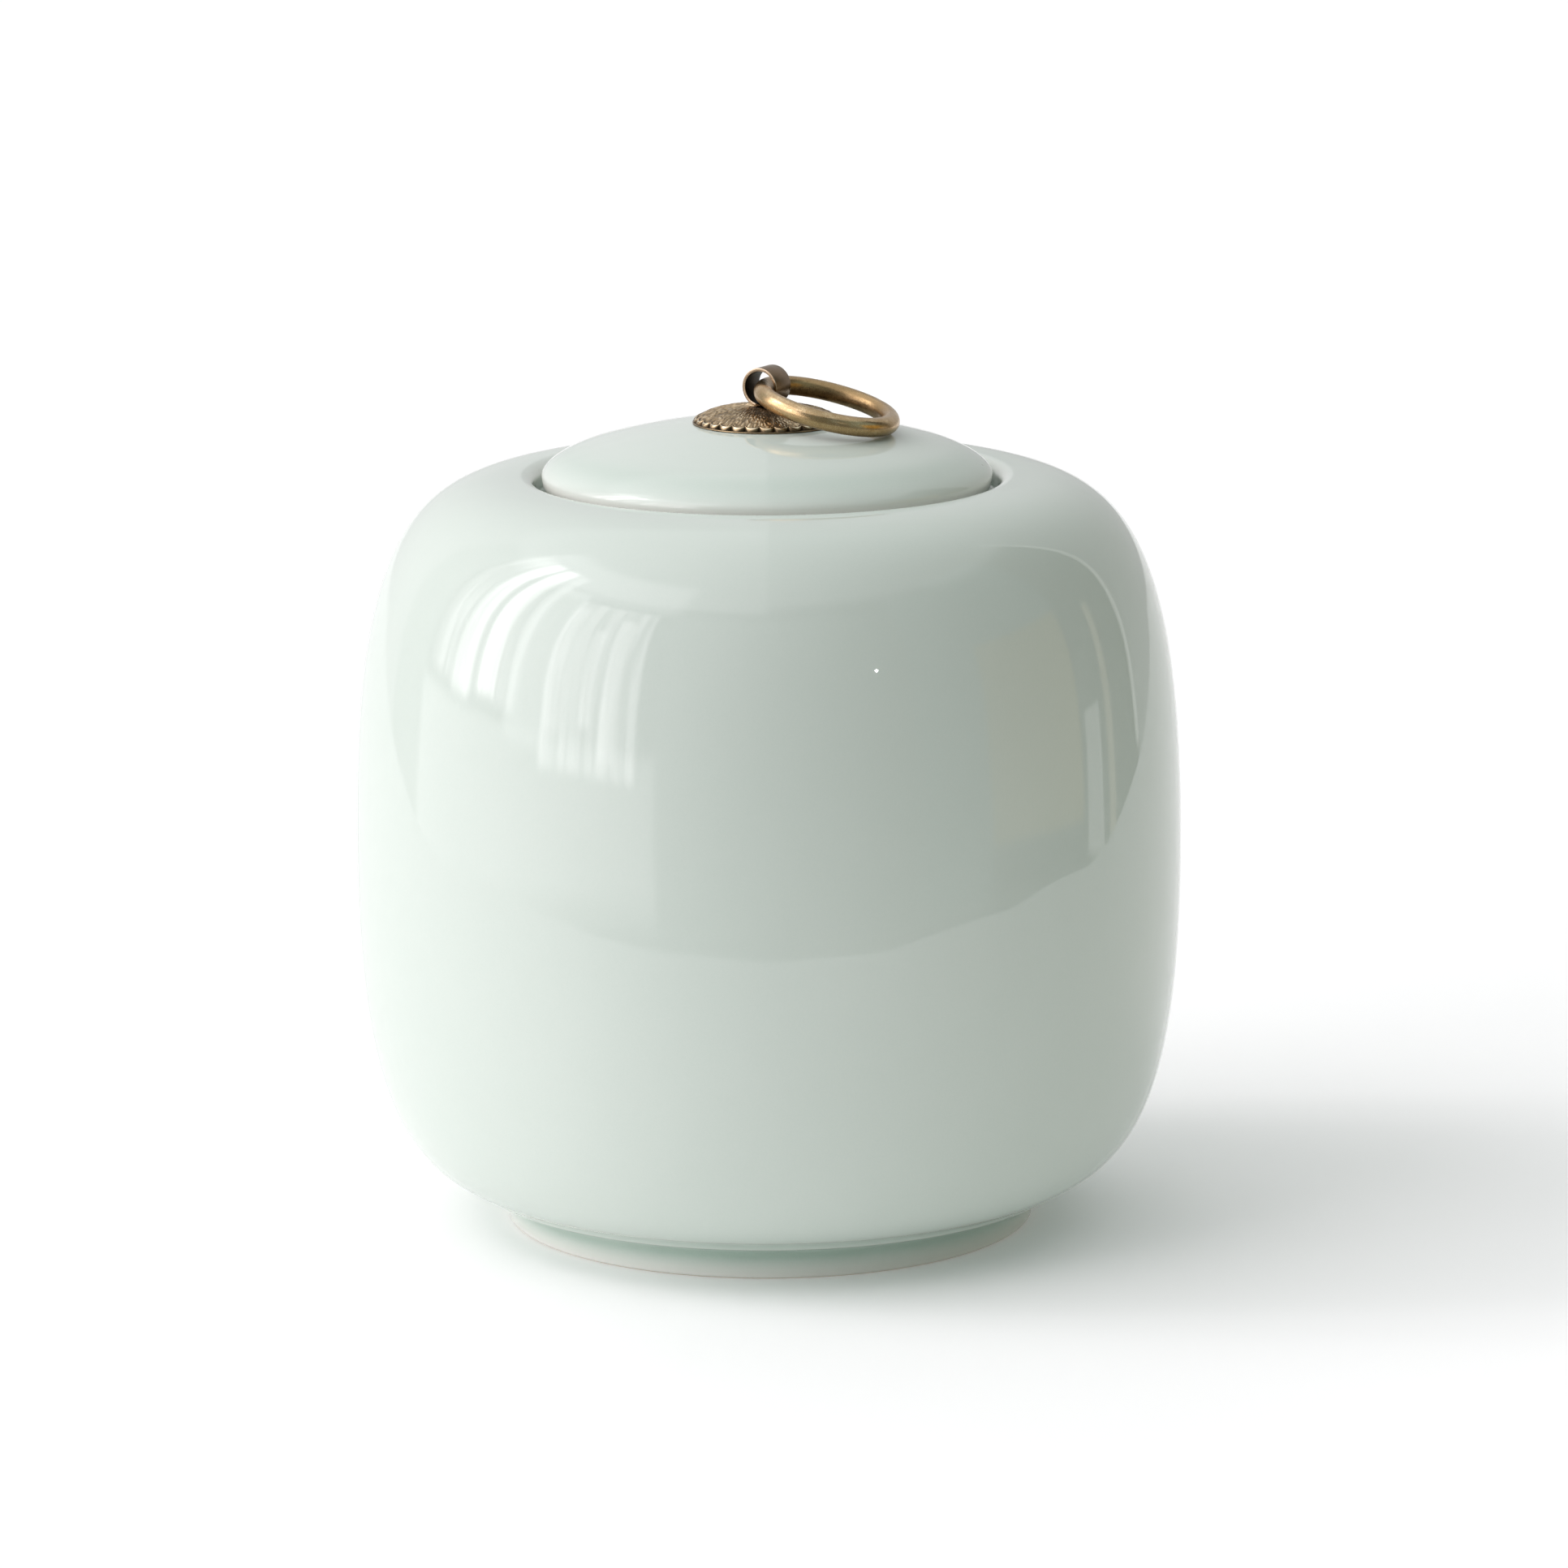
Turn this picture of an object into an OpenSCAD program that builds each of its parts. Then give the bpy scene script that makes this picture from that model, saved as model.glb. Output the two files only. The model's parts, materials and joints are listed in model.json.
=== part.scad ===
// Celadon storage jar with a sunk domed lid and a drop-ring pull.
// Millimetres, +Z up, origin at the centre of the foot's base plane.
// The ring swings in the XZ plane and lies towards +X at rest.

/* [Jar body] */
// Largest radius of the belly
belly_r = 84.2; // [80:0.1:90]
// Height of the largest radius
belly_z = 76.6; // [74:0.1:80]
// Height of the shoulder's crest
crest_z = 153.8; // [152:0.1:156]
// Radius of the shoulder's crest, where the lip rolls in
crest_r = 50.4; // [49.5:0.1:51.5]
// Wall thickness at the belly
wall = 4.8; // [4:0.1:6]
// Height of the cavity's floor
floor_z = 11.6; // [10:0.1:13]
// Radius of the flat part of the floor
floor_r = 52; // [48:0.5:54]

/* [Foot] */
// Outer radius of the foot ring
foot_r = 54; // [52:0.1:55]
// Inner radius of the foot ring
foot_inner_r = 47.5; // [45:0.1:49]
// Depth of the recess inside the foot ring
recess_h = 5.5; // [5:0.1:6]
// Radius of the edge where the belly ends
belly_edge_r = 65.5; // [64.5:0.1:67]
// Height of the edge where the belly ends
belly_edge_z = 10.5; // [10:0.1:11]
// Radius of the edge above the foot's cove
cove_edge_r = 61; // [60:0.1:62]
// Height of the edge above the foot's cove
cove_edge_z = 7.9; // [7.5:0.1:8.3]

/* [Mouth] */
// Radius of the wall round the lid's rim
lip_r = 46.9; // [46.5:0.1:47.3]
// Height of the ledge that the lid rests on
ledge_z = 149; // [148.6:0.1:149.4]
// Radius of the neck bore
neck_r = 41; // [40.9:0.1:41.4]
// Height of the neck bore's lower end
neck_low_z = 141; // [140.5:0.1:141.5]

/* [Lid] */
// Largest radius of the lid's rim
lid_r = 45.6; // [45:0.1:45.9]
// Height of the largest radius of the rim
lid_rim_z = 153.9; // [153.5:0.1:154.2]
// Height of the lid's crown
lid_top_z = 165; // [164.8:0.1:165.2]
// Radius of the dome's sphere
lid_dome_r = 131.3; // [128:0.1:135]
// Radius where the dome turns into the rim
lid_turn_r = 36; // [35:0.1:37]
// Thickness of the lid
lid_t = 4.6; // [4:0.1:5]
// Outer radius of the collar below the lid
collar_r = 40.1; // [39.9:0.1:40.2]
// Inner radius of the collar
collar_inner_r = 36; // [35.5:0.1:36.5]
// Height of the collar's lower edge
collar_low_z = 138.5; // [138:0.1:139]
// Radius of the hole drilled through the crown
bore_r = 2.2; // [2.1:0.05:2.4]

/* [Seal] */
// Outer radius of the seal's ribs
seal_r = 40.7; // [40.5:0.05:40.75]
// Height of the seal
seal_h = 3; // [2.6:0.1:3.2]
// Height of the seal's lower face
seal_z = 142.6; // [142.4:0.1:142.8]
// Depth of the groove in the collar
groove_d = 1.3; // [1:0.1:1.5]

/* [Rosette] */
// Radius of the plain rim round the petals
rosette_r = 15; // [14.5:0.1:15.5]
// Height of the rosette's crown
rosette_top_z = 167.4; // [167.2:0.1:167.5]
// Height of the petals' edge
rosette_rim_z = 164.7; // [164.6:0.1:164.9]
// Thickness of the stamped sheet
rosette_t = 0.5; // [0.4:0.1:0.6]
// Radius of the hole for the eye's legs
rosette_hole_r = 2; // [1.95:0.05:2.1]
// Number of petals
petals = 30; // [24:1:36]
// Width of the plain rim that shows beyond the petals' tips
rim_w = 0.15; // [0.1:0.05:0.3]

/* [Eye] */
// Outer radius of the loop
eye_r = 4; // [3.9:0.05:4.1]
// Thickness of the strip
strip_t = 0.65; // [0.6:0.05:0.7]
// Width of the strip at the loop
strip_w = 5.8; // [5:0.1:6]
// Width of each leg
leg_w = 3.4; // [3:0.1:3.5]
// Height of the loop's centre
eye_z = 171.65; // [171.6:0.05:171.8]
// Turn of the eye away from the ring's own line
eye_turn = -12; // [-12:1:12]

/* [Drop ring] */
// Radius of the ring to the middle of its wire
ring_r = 13.15; // [12.8:0.05:13.4]
// Radius of the wire
wire_r = 1.95; // [1.8:0.05:2]
// Height of the wire's centre inside the eye
ring_z = 171.35; // [171.2:0.05:171.5]
// Gap between the ring's free end and the lid
ring_gap = 0.3; // [0.25:0.05:0.6]

/* [Washers] */
// Radius of the soft washer
cushion_r = 7; // [6:0.1:8]
// Thickness of the soft washer
cushion_t = 1.2; // [1:0.1:1.4]
// Radius of the backing washer
backing_r = 6; // [5:0.1:6.5]
// Thickness of the backing washer
backing_t = 0.8; // [0.6:0.1:1]

/* [Hidden] */
$fn = 96;

// Number of steps along each curved stretch of an outline
curve_steps = 14;
// Number of steps along a short curved stretch
short_steps = 6;
// Gap between two faces that rest on each other
rest_gap = 0.1;
// Height of the dome's centre
dome_z = lid_top_z - lid_dome_r;
// Height of the lid's seat, just above the ledge
seat_z = ledge_z + rest_gap;
// Radius at the bottom of the collar's groove
groove_r = collar_r - groove_d;
// Gap round the seal in its groove
seal_gap = 0.3;
// Height of the soft washer's upper face, just clear of the dome's inner face
cushion_z = dome_z + sqrt(pow(lid_dome_r - lid_t, 2) - pow(cushion_r, 2)) - rest_gap;
// Height of the backing washer's upper face
backing_z = cushion_z - cushion_t - rest_gap / 2;
// Height of the upper face of the splayed legs
splay_z = backing_z - backing_t - rest_gap / 2;
// Length of each splayed leg from the axis
splay_l = 7.5;
// Gap between the two legs
leg_gap = 0.12;
// Tilt below the horizontal at which the ring's free end meets the lid
ring_reach = 2 * ring_r;
pivot_h = ring_z - dome_z;
contact_l = lid_dome_r + wire_r + ring_gap;
ring_tilt = 90 - acos((pow(pivot_h, 2) + pow(ring_reach, 2) - pow(contact_l, 2))
                      / (2 * pivot_h * ring_reach));

// A point on a cubic curve, and the points along it
function cubic(a, b, c, d, t) =
    pow(1 - t, 3) * a + 3 * pow(1 - t, 2) * t * b + 3 * (1 - t) * pow(t, 2) * c + pow(t, 3) * d;
function curve(a, b, c, d, steps) = [for (i = [0 : steps]) cubic(a, b, c, d, i / steps)];

// Points on a sphere's outline of radius r about the dome's centre
function dome(r, from_r, to_r, steps) =
    [for (i = [0 : steps]) let (x = from_r + (to_r - from_r) * i / steps)
        [x, dome_z + sqrt(pow(r, 2) - pow(x, 2))]];

// The jar's outside, from the foot's outer edge up to the mouth
module jar_outline() {
    edge = 0.8;
    belly_edge = [belly_edge_r, belly_edge_z];
    cove_edge = [cove_edge_r, cove_edge_z];
    widest = [belly_r, belly_z];
    crest = [crest_r, crest_z];
    polygon(concat(
        [[0, recess_h], [foot_inner_r - 2, recess_h], [foot_inner_r, recess_h - 2],
         [foot_inner_r, edge], [foot_inner_r + edge, 0], [foot_r - edge, 0], [foot_r, edge]],
        curve([foot_r, 2], [foot_r, 5], [foot_r + 3, 7.1], cove_edge, short_steps),
        curve(belly_edge, belly_edge + [10.7, 5.35], [belly_r, belly_z - 47.4], widest,
              curve_steps),
        curve(widest, [belly_r, belly_z + 57.6], [crest_r + 24.2, crest_z], crest, curve_steps),
        curve(crest, [crest_r - 2.8, crest_z], [lip_r, crest_z - 1.6], [lip_r, crest_z - 3.3],
              short_steps),
        [[lip_r, ledge_z + edge], [lip_r - edge, ledge_z], [neck_r + 0.4, ledge_z],
         [neck_r, ledge_z - 0.4], [neck_r, neck_low_z + 1], [neck_r + 1, neck_low_z],
         [neck_r + 4.5, neck_low_z], [neck_r + 8.5, neck_low_z + 3.2]],
        curve([neck_r + 16, crest_z - 6.8], [neck_r + 31, crest_z - 6.3],
              [belly_r - wall, belly_z + 54.9], [belly_r - wall, belly_z], curve_steps),
        curve([belly_r - wall, belly_z], [belly_r - wall, belly_z - 44.6],
              [floor_r + 14, floor_z + 2.7], [floor_r, floor_z], curve_steps),
        [[0, floor_z]]));
}

module jar_body() {
    color([0.80, 0.86, 0.82])
        rotate_extrude()
            jar_outline();
}

// The lid's section: dome, rim, seat, collar with its groove, and the hollow
module lid_outline() {
    edge = 0.8;
    turn = [lid_turn_r, dome_z + sqrt(pow(lid_dome_r, 2) - pow(lid_turn_r, 2))];
    fall = [turn[1] - dome_z, -lid_turn_r] / lid_dome_r;
    widest = [lid_r, lid_rim_z];
    inner_turn_r = collar_inner_r - 3;
    inner_dome_r = lid_dome_r - lid_t;
    inner_turn_z = dome_z + sqrt(pow(inner_dome_r, 2) - pow(inner_turn_r, 2));
    polygon(concat(
        dome(lid_dome_r, bore_r, lid_turn_r, curve_steps),
        curve(turn, turn + 5.3 * fall, widest + [0, 1.9], widest, short_steps),
        curve(widest, widest - [0, 2.6], [lid_r - 1.2, seat_z], [lid_r - 2.8, seat_z],
              short_steps),
        [[collar_r + 0.6, seat_z], [collar_r, seat_z - 0.6],
         [collar_r, seal_z + seal_h + seal_gap], [groove_r, seal_z + seal_h + seal_gap],
         [groove_r, seal_z - seal_gap], [collar_r, seal_z - seal_gap],
         [collar_r, collar_low_z + edge], [collar_r - edge, collar_low_z],
         [collar_inner_r + edge, collar_low_z], [collar_inner_r, collar_low_z + edge],
         [collar_inner_r, inner_turn_z - 3]],
        [for (p = curve([collar_inner_r, inner_turn_z - 3], [collar_inner_r, inner_turn_z - 1.3],
                        [inner_turn_r + 1.6, inner_turn_z - 0.4], [inner_turn_r, inner_turn_z],
                        short_steps)) if (p[0] < collar_inner_r) p],
        dome(inner_dome_r, inner_turn_r - 1, bore_r, curve_steps)));
}

module lid() {
    color([0.82, 0.87, 0.83])
        rotate_extrude()
            lid_outline();
}

// A silicone band with two ribs that meet the neck bore
module lid_seal() {
    rib_r = 0.7;
    base_r = groove_r + seal_gap;
    color([0.86, 0.87, 0.84])
        rotate_extrude() {
            translate([base_r, seal_z])
                square([seal_r - rib_r - base_r, seal_h]);
            for (z = [rib_r, seal_h - rib_r])
                translate([seal_r - rib_r, seal_z + z])
                    circle(rib_r, $fn = 24);
        }
}

// Height of the rosette's upper face at a radius, full towards the edge
function rosette_z(r) =
    rosette_rim_z + (rosette_top_z - rosette_rim_z) * (1 - pow(r / rosette_r, 4.2));

// The stamped sheet before its edge is cut, with a down-turned edge
module rosette_sheet() {
    turn_r = rosette_r - 0.4;
    inner_r = turn_r - rosette_t;
    steps = 12;
    low_z = rosette_rim_z - 0.3;
    radii = [for (i = [0 : steps]) rosette_hole_r + (turn_r - rosette_hole_r) * i / steps];
    inner_radii = [for (i = [0 : steps]) inner_r - (inner_r - rosette_hole_r) * i / steps];
    polygon(concat(
        [for (r = radii) [r, rosette_z(r)]],
        [[rosette_r + 0.1, rosette_rim_z - 0.1], [rosette_r + 0.1, low_z],
         [inner_r, low_z]],
        [for (r = inner_radii) [r, rosette_z(r) - rosette_t]]));
}

module rosette() {
    lobe_r = 1.6;
    lobe_at = rosette_r - rim_w - lobe_r;
    rim_in = rosette_r - 1.8;
    rim_z = rosette_rim_z - 0.5;
    color([0.55, 0.45, 0.28]) {
        intersection() {
            rotate_extrude()
                rosette_sheet();
            translate([0, 0, rosette_rim_z - 1])
                linear_extrude(rosette_top_z - rosette_rim_z + 2) {
                    circle(lobe_at);
                    for (i = [0 : petals - 1])
                        rotate(i * 360 / petals)
                            translate([lobe_at, 0])
                                circle(lobe_r, $fn = 32);
                }
        }
        rotate_extrude()
            polygon([[rim_in, rim_z + 0.2], [rosette_r, rim_z],
                     [rosette_r, rim_z + 0.3], [rim_in, rim_z + 0.45]]);
    }
}

// One strip: a loop above the rosette and two legs splayed below the lid
module eye_pin() {
    leg_top = eye_z - eye_r + strip_t / 2;
    leg_low = splay_z - strip_t;
    color([0.50, 0.40, 0.24])
        rotate([0, 0, eye_turn]) {
            translate([0, 0, eye_z])
                rotate([90, 0, 0])
                    difference() {
                        cylinder(r = eye_r, h = strip_w, center = true);
                        cylinder(r = eye_r - strip_t, h = strip_w + 1, center = true);
                        translate([-leg_gap / 2, -eye_r - 1, -strip_w])
                            cube([leg_gap, strip_t + 2, 2 * strip_w]);
                    }
            for (side = [0, 1])
                mirror([side, 0, 0]) {
                    translate([leg_gap / 2, -leg_w / 2, leg_low])
                        cube([strip_t, leg_w, leg_top - leg_low]);
                    translate([leg_gap / 2, -leg_w / 2, leg_low])
                        cube([splay_l - leg_gap / 2, leg_w, strip_t]);
                }
        }
}

// A ring of round wire, hung in the eye and resting towards +X
module drop_ring() {
    color([0.60, 0.49, 0.30])
        translate([0, 0, ring_z])
            rotate([0, ring_tilt, 0])
                translate([ring_r, 0, 0])
                    rotate_extrude()
                        translate([ring_r, 0])
                            circle(wire_r, $fn = 48);
}

// A flat washer whose upper face is at top_z
module washer(r, hole_r, t, top_z) {
    translate([0, 0, top_z - t])
        difference() {
            cylinder(r = r, h = t);
            translate([0, 0, -1])
                cylinder(r = hole_r, h = t + 2);
        }
}

module cushion_washer() {
    color([0.30, 0.29, 0.27])
        washer(cushion_r, bore_r, cushion_t, cushion_z);
}

module backing_washer() {
    color([0.66, 0.54, 0.32])
        washer(backing_r, bore_r, backing_t, backing_z);
}

jar_body();
lid();
lid_seal();
rosette();
eye_pin();
drop_ring();
cushion_washer();
backing_washer();
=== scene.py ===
"""A celadon storage jar with a sunk lid and an antique-brass drop-ring pull. Metres, +Z up."""

import bpy
import json
import math
from mathutils import Matrix, Vector, noise


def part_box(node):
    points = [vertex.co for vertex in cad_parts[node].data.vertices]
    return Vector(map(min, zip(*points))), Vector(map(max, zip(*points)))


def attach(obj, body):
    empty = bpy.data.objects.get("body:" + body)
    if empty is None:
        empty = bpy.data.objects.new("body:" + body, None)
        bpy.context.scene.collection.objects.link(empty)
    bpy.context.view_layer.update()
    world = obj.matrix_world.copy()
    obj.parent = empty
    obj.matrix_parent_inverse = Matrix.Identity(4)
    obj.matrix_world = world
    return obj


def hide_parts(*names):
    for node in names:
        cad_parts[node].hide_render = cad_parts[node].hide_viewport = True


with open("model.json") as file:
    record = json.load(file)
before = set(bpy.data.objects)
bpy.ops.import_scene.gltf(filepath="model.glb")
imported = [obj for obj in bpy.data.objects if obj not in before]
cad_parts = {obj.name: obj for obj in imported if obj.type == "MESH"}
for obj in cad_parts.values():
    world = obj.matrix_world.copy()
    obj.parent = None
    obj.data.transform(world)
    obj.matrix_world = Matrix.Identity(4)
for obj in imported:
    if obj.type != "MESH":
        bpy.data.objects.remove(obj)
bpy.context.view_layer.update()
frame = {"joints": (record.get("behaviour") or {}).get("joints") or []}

MM = 0.001
TURNS = 256                 # segments round the jar, the lid and the seal
WASHER_TURNS = 128
JOINT = {j["name"]: j for j in frame["joints"]}


# ---------------------------------------------------------------- sizes, in millimetres

def node_box(node):
    """The lowest and highest corner of a CAD node, in millimetres."""
    low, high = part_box(node)
    return low / MM, high / MM


body_high = node_box("jar_body")[1]
lid_low, lid_high = node_box("lid")
seal_low, seal_high = node_box("lid_seal")
rosette_high = node_box("rosette")[1]
eye_low, eye_high = node_box("eye_pin")
cushion_low, cushion_high = node_box("cushion_washer")
backing_low, backing_high = node_box("backing_washer")

BELLY_R = body_high.x       # the jar at its widest
BELLY_Z = 76.6
CREST_Z = body_high.z       # the top of the shoulder, where it turns in to the mouth
CREST_R = 50.4
WALL = 4.8
FLOOR_Z = 11.6              # the jar's inside floor, flat out to FLOOR_R
FLOOR_R = 52.0
FOOT_R = 54.0
FOOT_INNER_R = 47.5
RECESS_H = 5.5              # the hollow under the foot
FOOT_EDGE = 0.8             # round on the foot ring's two edges
BELLY_EDGE = (65.5, 10.5)   # where the belly ends above the foot
COVE_EDGE = (61.0, 7.9)     # the edge above the foot's cove
LIP_R = 46.9                # the mouth above the ledge
LEDGE_Z = 149.0             # the lid rests here
NECK_R = 41.0               # the mouth below the ledge
NECK_LOW_Z = 141.0
UNDER_SHOULDER = (NECK_R + 16, CREST_Z - 6.8)   # where the neck's underside meets the inside

LID_R = lid_high.x
LID_RIM_Z = 153.9
LID_TOP_Z = 165.0
LID_DOME_R = 131.3
LID_TURN_R = 36.0           # where the dome turns down to the rim
LID_T = 4.6
SEAT_Z = LEDGE_Z + 0.1
COLLAR_R = 40.1
COLLAR_INNER_R = 36.0
COLLAR_LOW_Z = lid_low.z
GROOVE_R = 38.8             # the seal's groove in the collar
BORE_R = 2.2                # the hole for the eye's legs
BORE_EDGE = 0.4
DOME_Z = LID_TOP_Z - LID_DOME_R   # the height of the dome's centre

ROSETTE_R = rosette_high.x
ROSETTE_TOP_Z = 167.4
ROSETTE_RIM_Z = 164.7
ROSETTE_T = 0.5
ROSETTE_HOLE_R = 2.0
PETALS = 30
HALF_PETAL = math.pi / PETALS
PETAL_INSET = 0.15          # from the petals' tips to the plain rim's edge
LOBE_R = 1.6                # round at a petal's tip
LOBE_AT = ROSETTE_R - PETAL_INSET - LOBE_R

EYE_R = 4.0
EYE_Z = eye_high.z - EYE_R
EYE_TURN = math.radians(-12)   # the loop lies a little askew to the ring
STRIP_T = 0.65
STRIP_W = 5.8
LEG_W = 3.4
LEG_GAP = 0.12
SPLAY_L = 7.5               # how far each leg's end splays out under the lid

RING_R = 13.15              # to the middle of the wire
WIRE_R = 1.95
RING_PIVOT = Vector(JOINT["ring_swing"]["pos_m"]) / MM
RING_TILT = math.radians(JOINT["ring_swing"]["range_deg"][1] - 180) / 2


# ---------------------------------------------------------------- outlines

def cubic(a, b, c, d, steps):
    """Points on a cubic curve from a to d."""
    points = []
    for i in range(steps + 1):
        t = i / steps
        weights = ((1 - t) ** 3, 3 * (1 - t) ** 2 * t, 3 * (1 - t) * t * t, t ** 3)
        points.append(tuple(sum(w * p[k] for w, p in zip(weights, (a, b, c, d)))
                            for k in (0, 1)))
    return points


def dome(radius, from_r, to_r, steps):
    """Points on the lid's sphere of that radius, between two distances from the axis."""
    points = []
    for i in range(steps + 1):
        r = from_r + (to_r - from_r) * i / steps
        points.append((r, DOME_Z + math.sqrt(radius ** 2 - r ** 2)))
    return points


def rounded(corners, steps=6):
    """Points along corners given as (r, z, fillet radius)."""
    points = []
    for i, (r, z, fillet) in enumerate(corners):
        here = Vector((r, z))
        if fillet == 0:
            points.append((r, z))
            continue
        back = (Vector(corners[i - 1][:2]) - here).normalized()
        ahead = (Vector(corners[(i + 1) % len(corners)][:2]) - here).normalized()
        half = back.angle(ahead) / 2
        start = here + back * fillet / math.tan(half)
        end = here + ahead * fillet / math.tan(half)
        centre = here + (back + ahead).normalized() * fillet / math.sin(half)
        turn = (start - centre).angle_signed(end - centre)
        for k in range(steps + 1):
            spoke = (start - centre).copy()
            spoke.rotate(Matrix.Rotation(-turn * k / steps, 2))
            points.append(tuple(centre + spoke))
    return points


def fill_in(points, longest):
    """The same outline with no step longer than that."""
    filled = [points[0]]
    for a, b in zip(points, points[1:]):
        gap = math.dist(a, b)
        if gap < 1e-5:
            continue
        parts = max(1, math.ceil(gap / longest))
        for k in range(1, parts + 1):
            filled.append(tuple(a[j] + (b[j] - a[j]) * k / parts for j in (0, 1)))
    return filled


# ---------------------------------------------------------------- meshes

def new_piece(name, vertices, faces, body, nodes, material, layers):
    """A smooth mesh from millimetre points, riding on a body in place of CAD nodes."""
    mesh = bpy.data.meshes.new(name)
    mesh.from_pydata([Vector(v) * MM for v in vertices], [], faces)
    mesh.validate()
    mesh.shade_smooth()
    for layer, values in layers.items():
        attribute = mesh.attributes.new(layer, "FLOAT", "POINT")
        attribute.data.foreach_set("value", values)
    piece = bpy.data.objects.new(name, mesh)
    bpy.context.scene.collection.objects.link(piece)
    mesh.materials.append(material)
    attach(piece, body)
    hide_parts(*nodes)


def lathe(outline, marks, turns=TURNS):
    """Vertices, faces and layers of an outline turned about Z.

    The outline runs from axis to axis, or closes on itself if it starts off the axis.
    marks maps each layer's name to a function of (r, z).
    """
    on_axis = outline[0][0] == 0
    ring_points = outline[1:-1] if on_axis else outline
    vertices = []
    layers = {name: [] for name in marks}

    def add(r, z, angle):
        vertices.append((r * math.cos(angle), r * math.sin(angle), z))
        for name, mark in marks.items():
            layers[name].append(mark(r, z))

    for r, z in ring_points:
        for k in range(turns):
            add(r, z, 2 * math.pi * k / turns)
    faces = []
    rows = len(ring_points)
    last = rows - 1 if on_axis else rows
    for i in range(last):
        a, b = i * turns, ((i + 1) % rows) * turns
        for k in range(turns):
            n = (k + 1) % turns
            faces.append((a + k, b + k, b + n, a + n))
    if on_axis:
        for point, row, flip in ((outline[0], 0, False), (outline[-1], rows - 1, True)):
            tip = len(vertices)
            add(0, point[1], 0)
            for k in range(turns):
                a, b = row * turns + k, row * turns + (k + 1) % turns
                faces.append((tip, b, a) if flip else (tip, a, b))
    return vertices, faces, layers


def close_loop(outline, longest):
    """A closed outline with no step longer than that, its last one included."""
    return fill_in(outline + [outline[0]], longest)[:-1]


def bump_at(distance, width):
    """A round ridge: 1 on its line, falling to 0 over its width."""
    return math.exp(-(distance / width) ** 2)


def spots(points):
    """A mark that is strongest at the given (r, z, width, strength) points."""
    def mark(r, z):
        return min(1.0, sum(strength * math.exp(-((r - pr) ** 2 + (z - pz) ** 2) / width ** 2)
                            for pr, pz, width, strength in points))
    return mark


# ---------------------------------------------------------------- node helpers

class Nodes:
    """Adds nodes to one tree and links them by value."""

    def __init__(self, tree):
        self.tree = tree

    def add(self, kind, inputs=None, **settings):
        node = self.tree.nodes.new(kind)
        for key, value in settings.items():
            setattr(node, key, value)
        for key, value in (inputs or {}).items():
            self.set(node.inputs[key], value)
        return node

    def set(self, socket, value):
        if isinstance(value, bpy.types.NodeSocket):
            self.tree.links.new(value, socket)
        elif value is not None:
            socket.default_value = value

    def math(self, operation, a, b=None, clamp=False):
        return self.add("ShaderNodeMath", {0: a, 1: b}, operation=operation,
                        use_clamp=clamp).outputs[0]

    def mix(self, factor, a, b, kind="MIX"):
        node = self.add("ShaderNodeMix", data_type="RGBA", blend_type=kind)
        self.set(node.inputs[0], factor)
        self.set(node.inputs[6], a)
        self.set(node.inputs[7], b)
        return node.outputs[2]

    def blend(self, factor, a, b):
        node = self.add("ShaderNodeMix", data_type="FLOAT")
        self.set(node.inputs[0], factor)
        self.set(node.inputs[2], a)
        self.set(node.inputs[3], b)
        return node.outputs[0]

    def ramp(self, value, low, high):
        return self.add("ShaderNodeMapRange", {0: value, 1: low, 2: high},
                        interpolation_type="SMOOTHSTEP").outputs[0]

    def noise(self, coords, scale, detail=3.0, roughness=0.55):
        return self.add("ShaderNodeTexNoise", {"Vector": coords, "Scale": scale,
                        "Detail": detail, "Roughness": roughness}).outputs["Fac"]

    def layer(self, name):
        return self.add("ShaderNodeAttribute", attribute_name=name).outputs["Fac"]

    def object_coords(self):
        return self.add("ShaderNodeTexCoord").outputs["Object"]

    def group(self, tree, inputs):
        node = self.add("ShaderNodeGroup", node_tree=tree)
        for key, value in inputs.items():
            self.set(node.inputs[key], value)
        return node


def effect(name, inputs, outputs):
    """A node group with named inputs and outputs, its input node and its output node."""
    tree = bpy.data.node_groups.new(name, "ShaderNodeTree")
    kinds = {"value": "NodeSocketFloat", "colour": "NodeSocketColor",
             "vector": "NodeSocketVector"}
    for label, kind, default in inputs:
        socket = tree.interface.new_socket(label, in_out="INPUT", socket_type=kinds[kind])
        if default is not None:
            socket.default_value = default
    for label, kind in outputs:
        tree.interface.new_socket(label, in_out="OUTPUT", socket_type=kinds[kind])
    nodes = Nodes(tree)
    return nodes, nodes.add("NodeGroupInput").outputs, nodes.add("NodeGroupOutput").inputs


def new_material(name):
    """A material with its shader, and the helper that adds nodes to it."""
    material = bpy.data.materials.new(name)
    material.use_nodes = True
    nodes = Nodes(material.node_tree)
    return material, nodes, material.node_tree.nodes["Principled BSDF"]


# ---------------------------------------------------------------- shared effects

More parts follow.
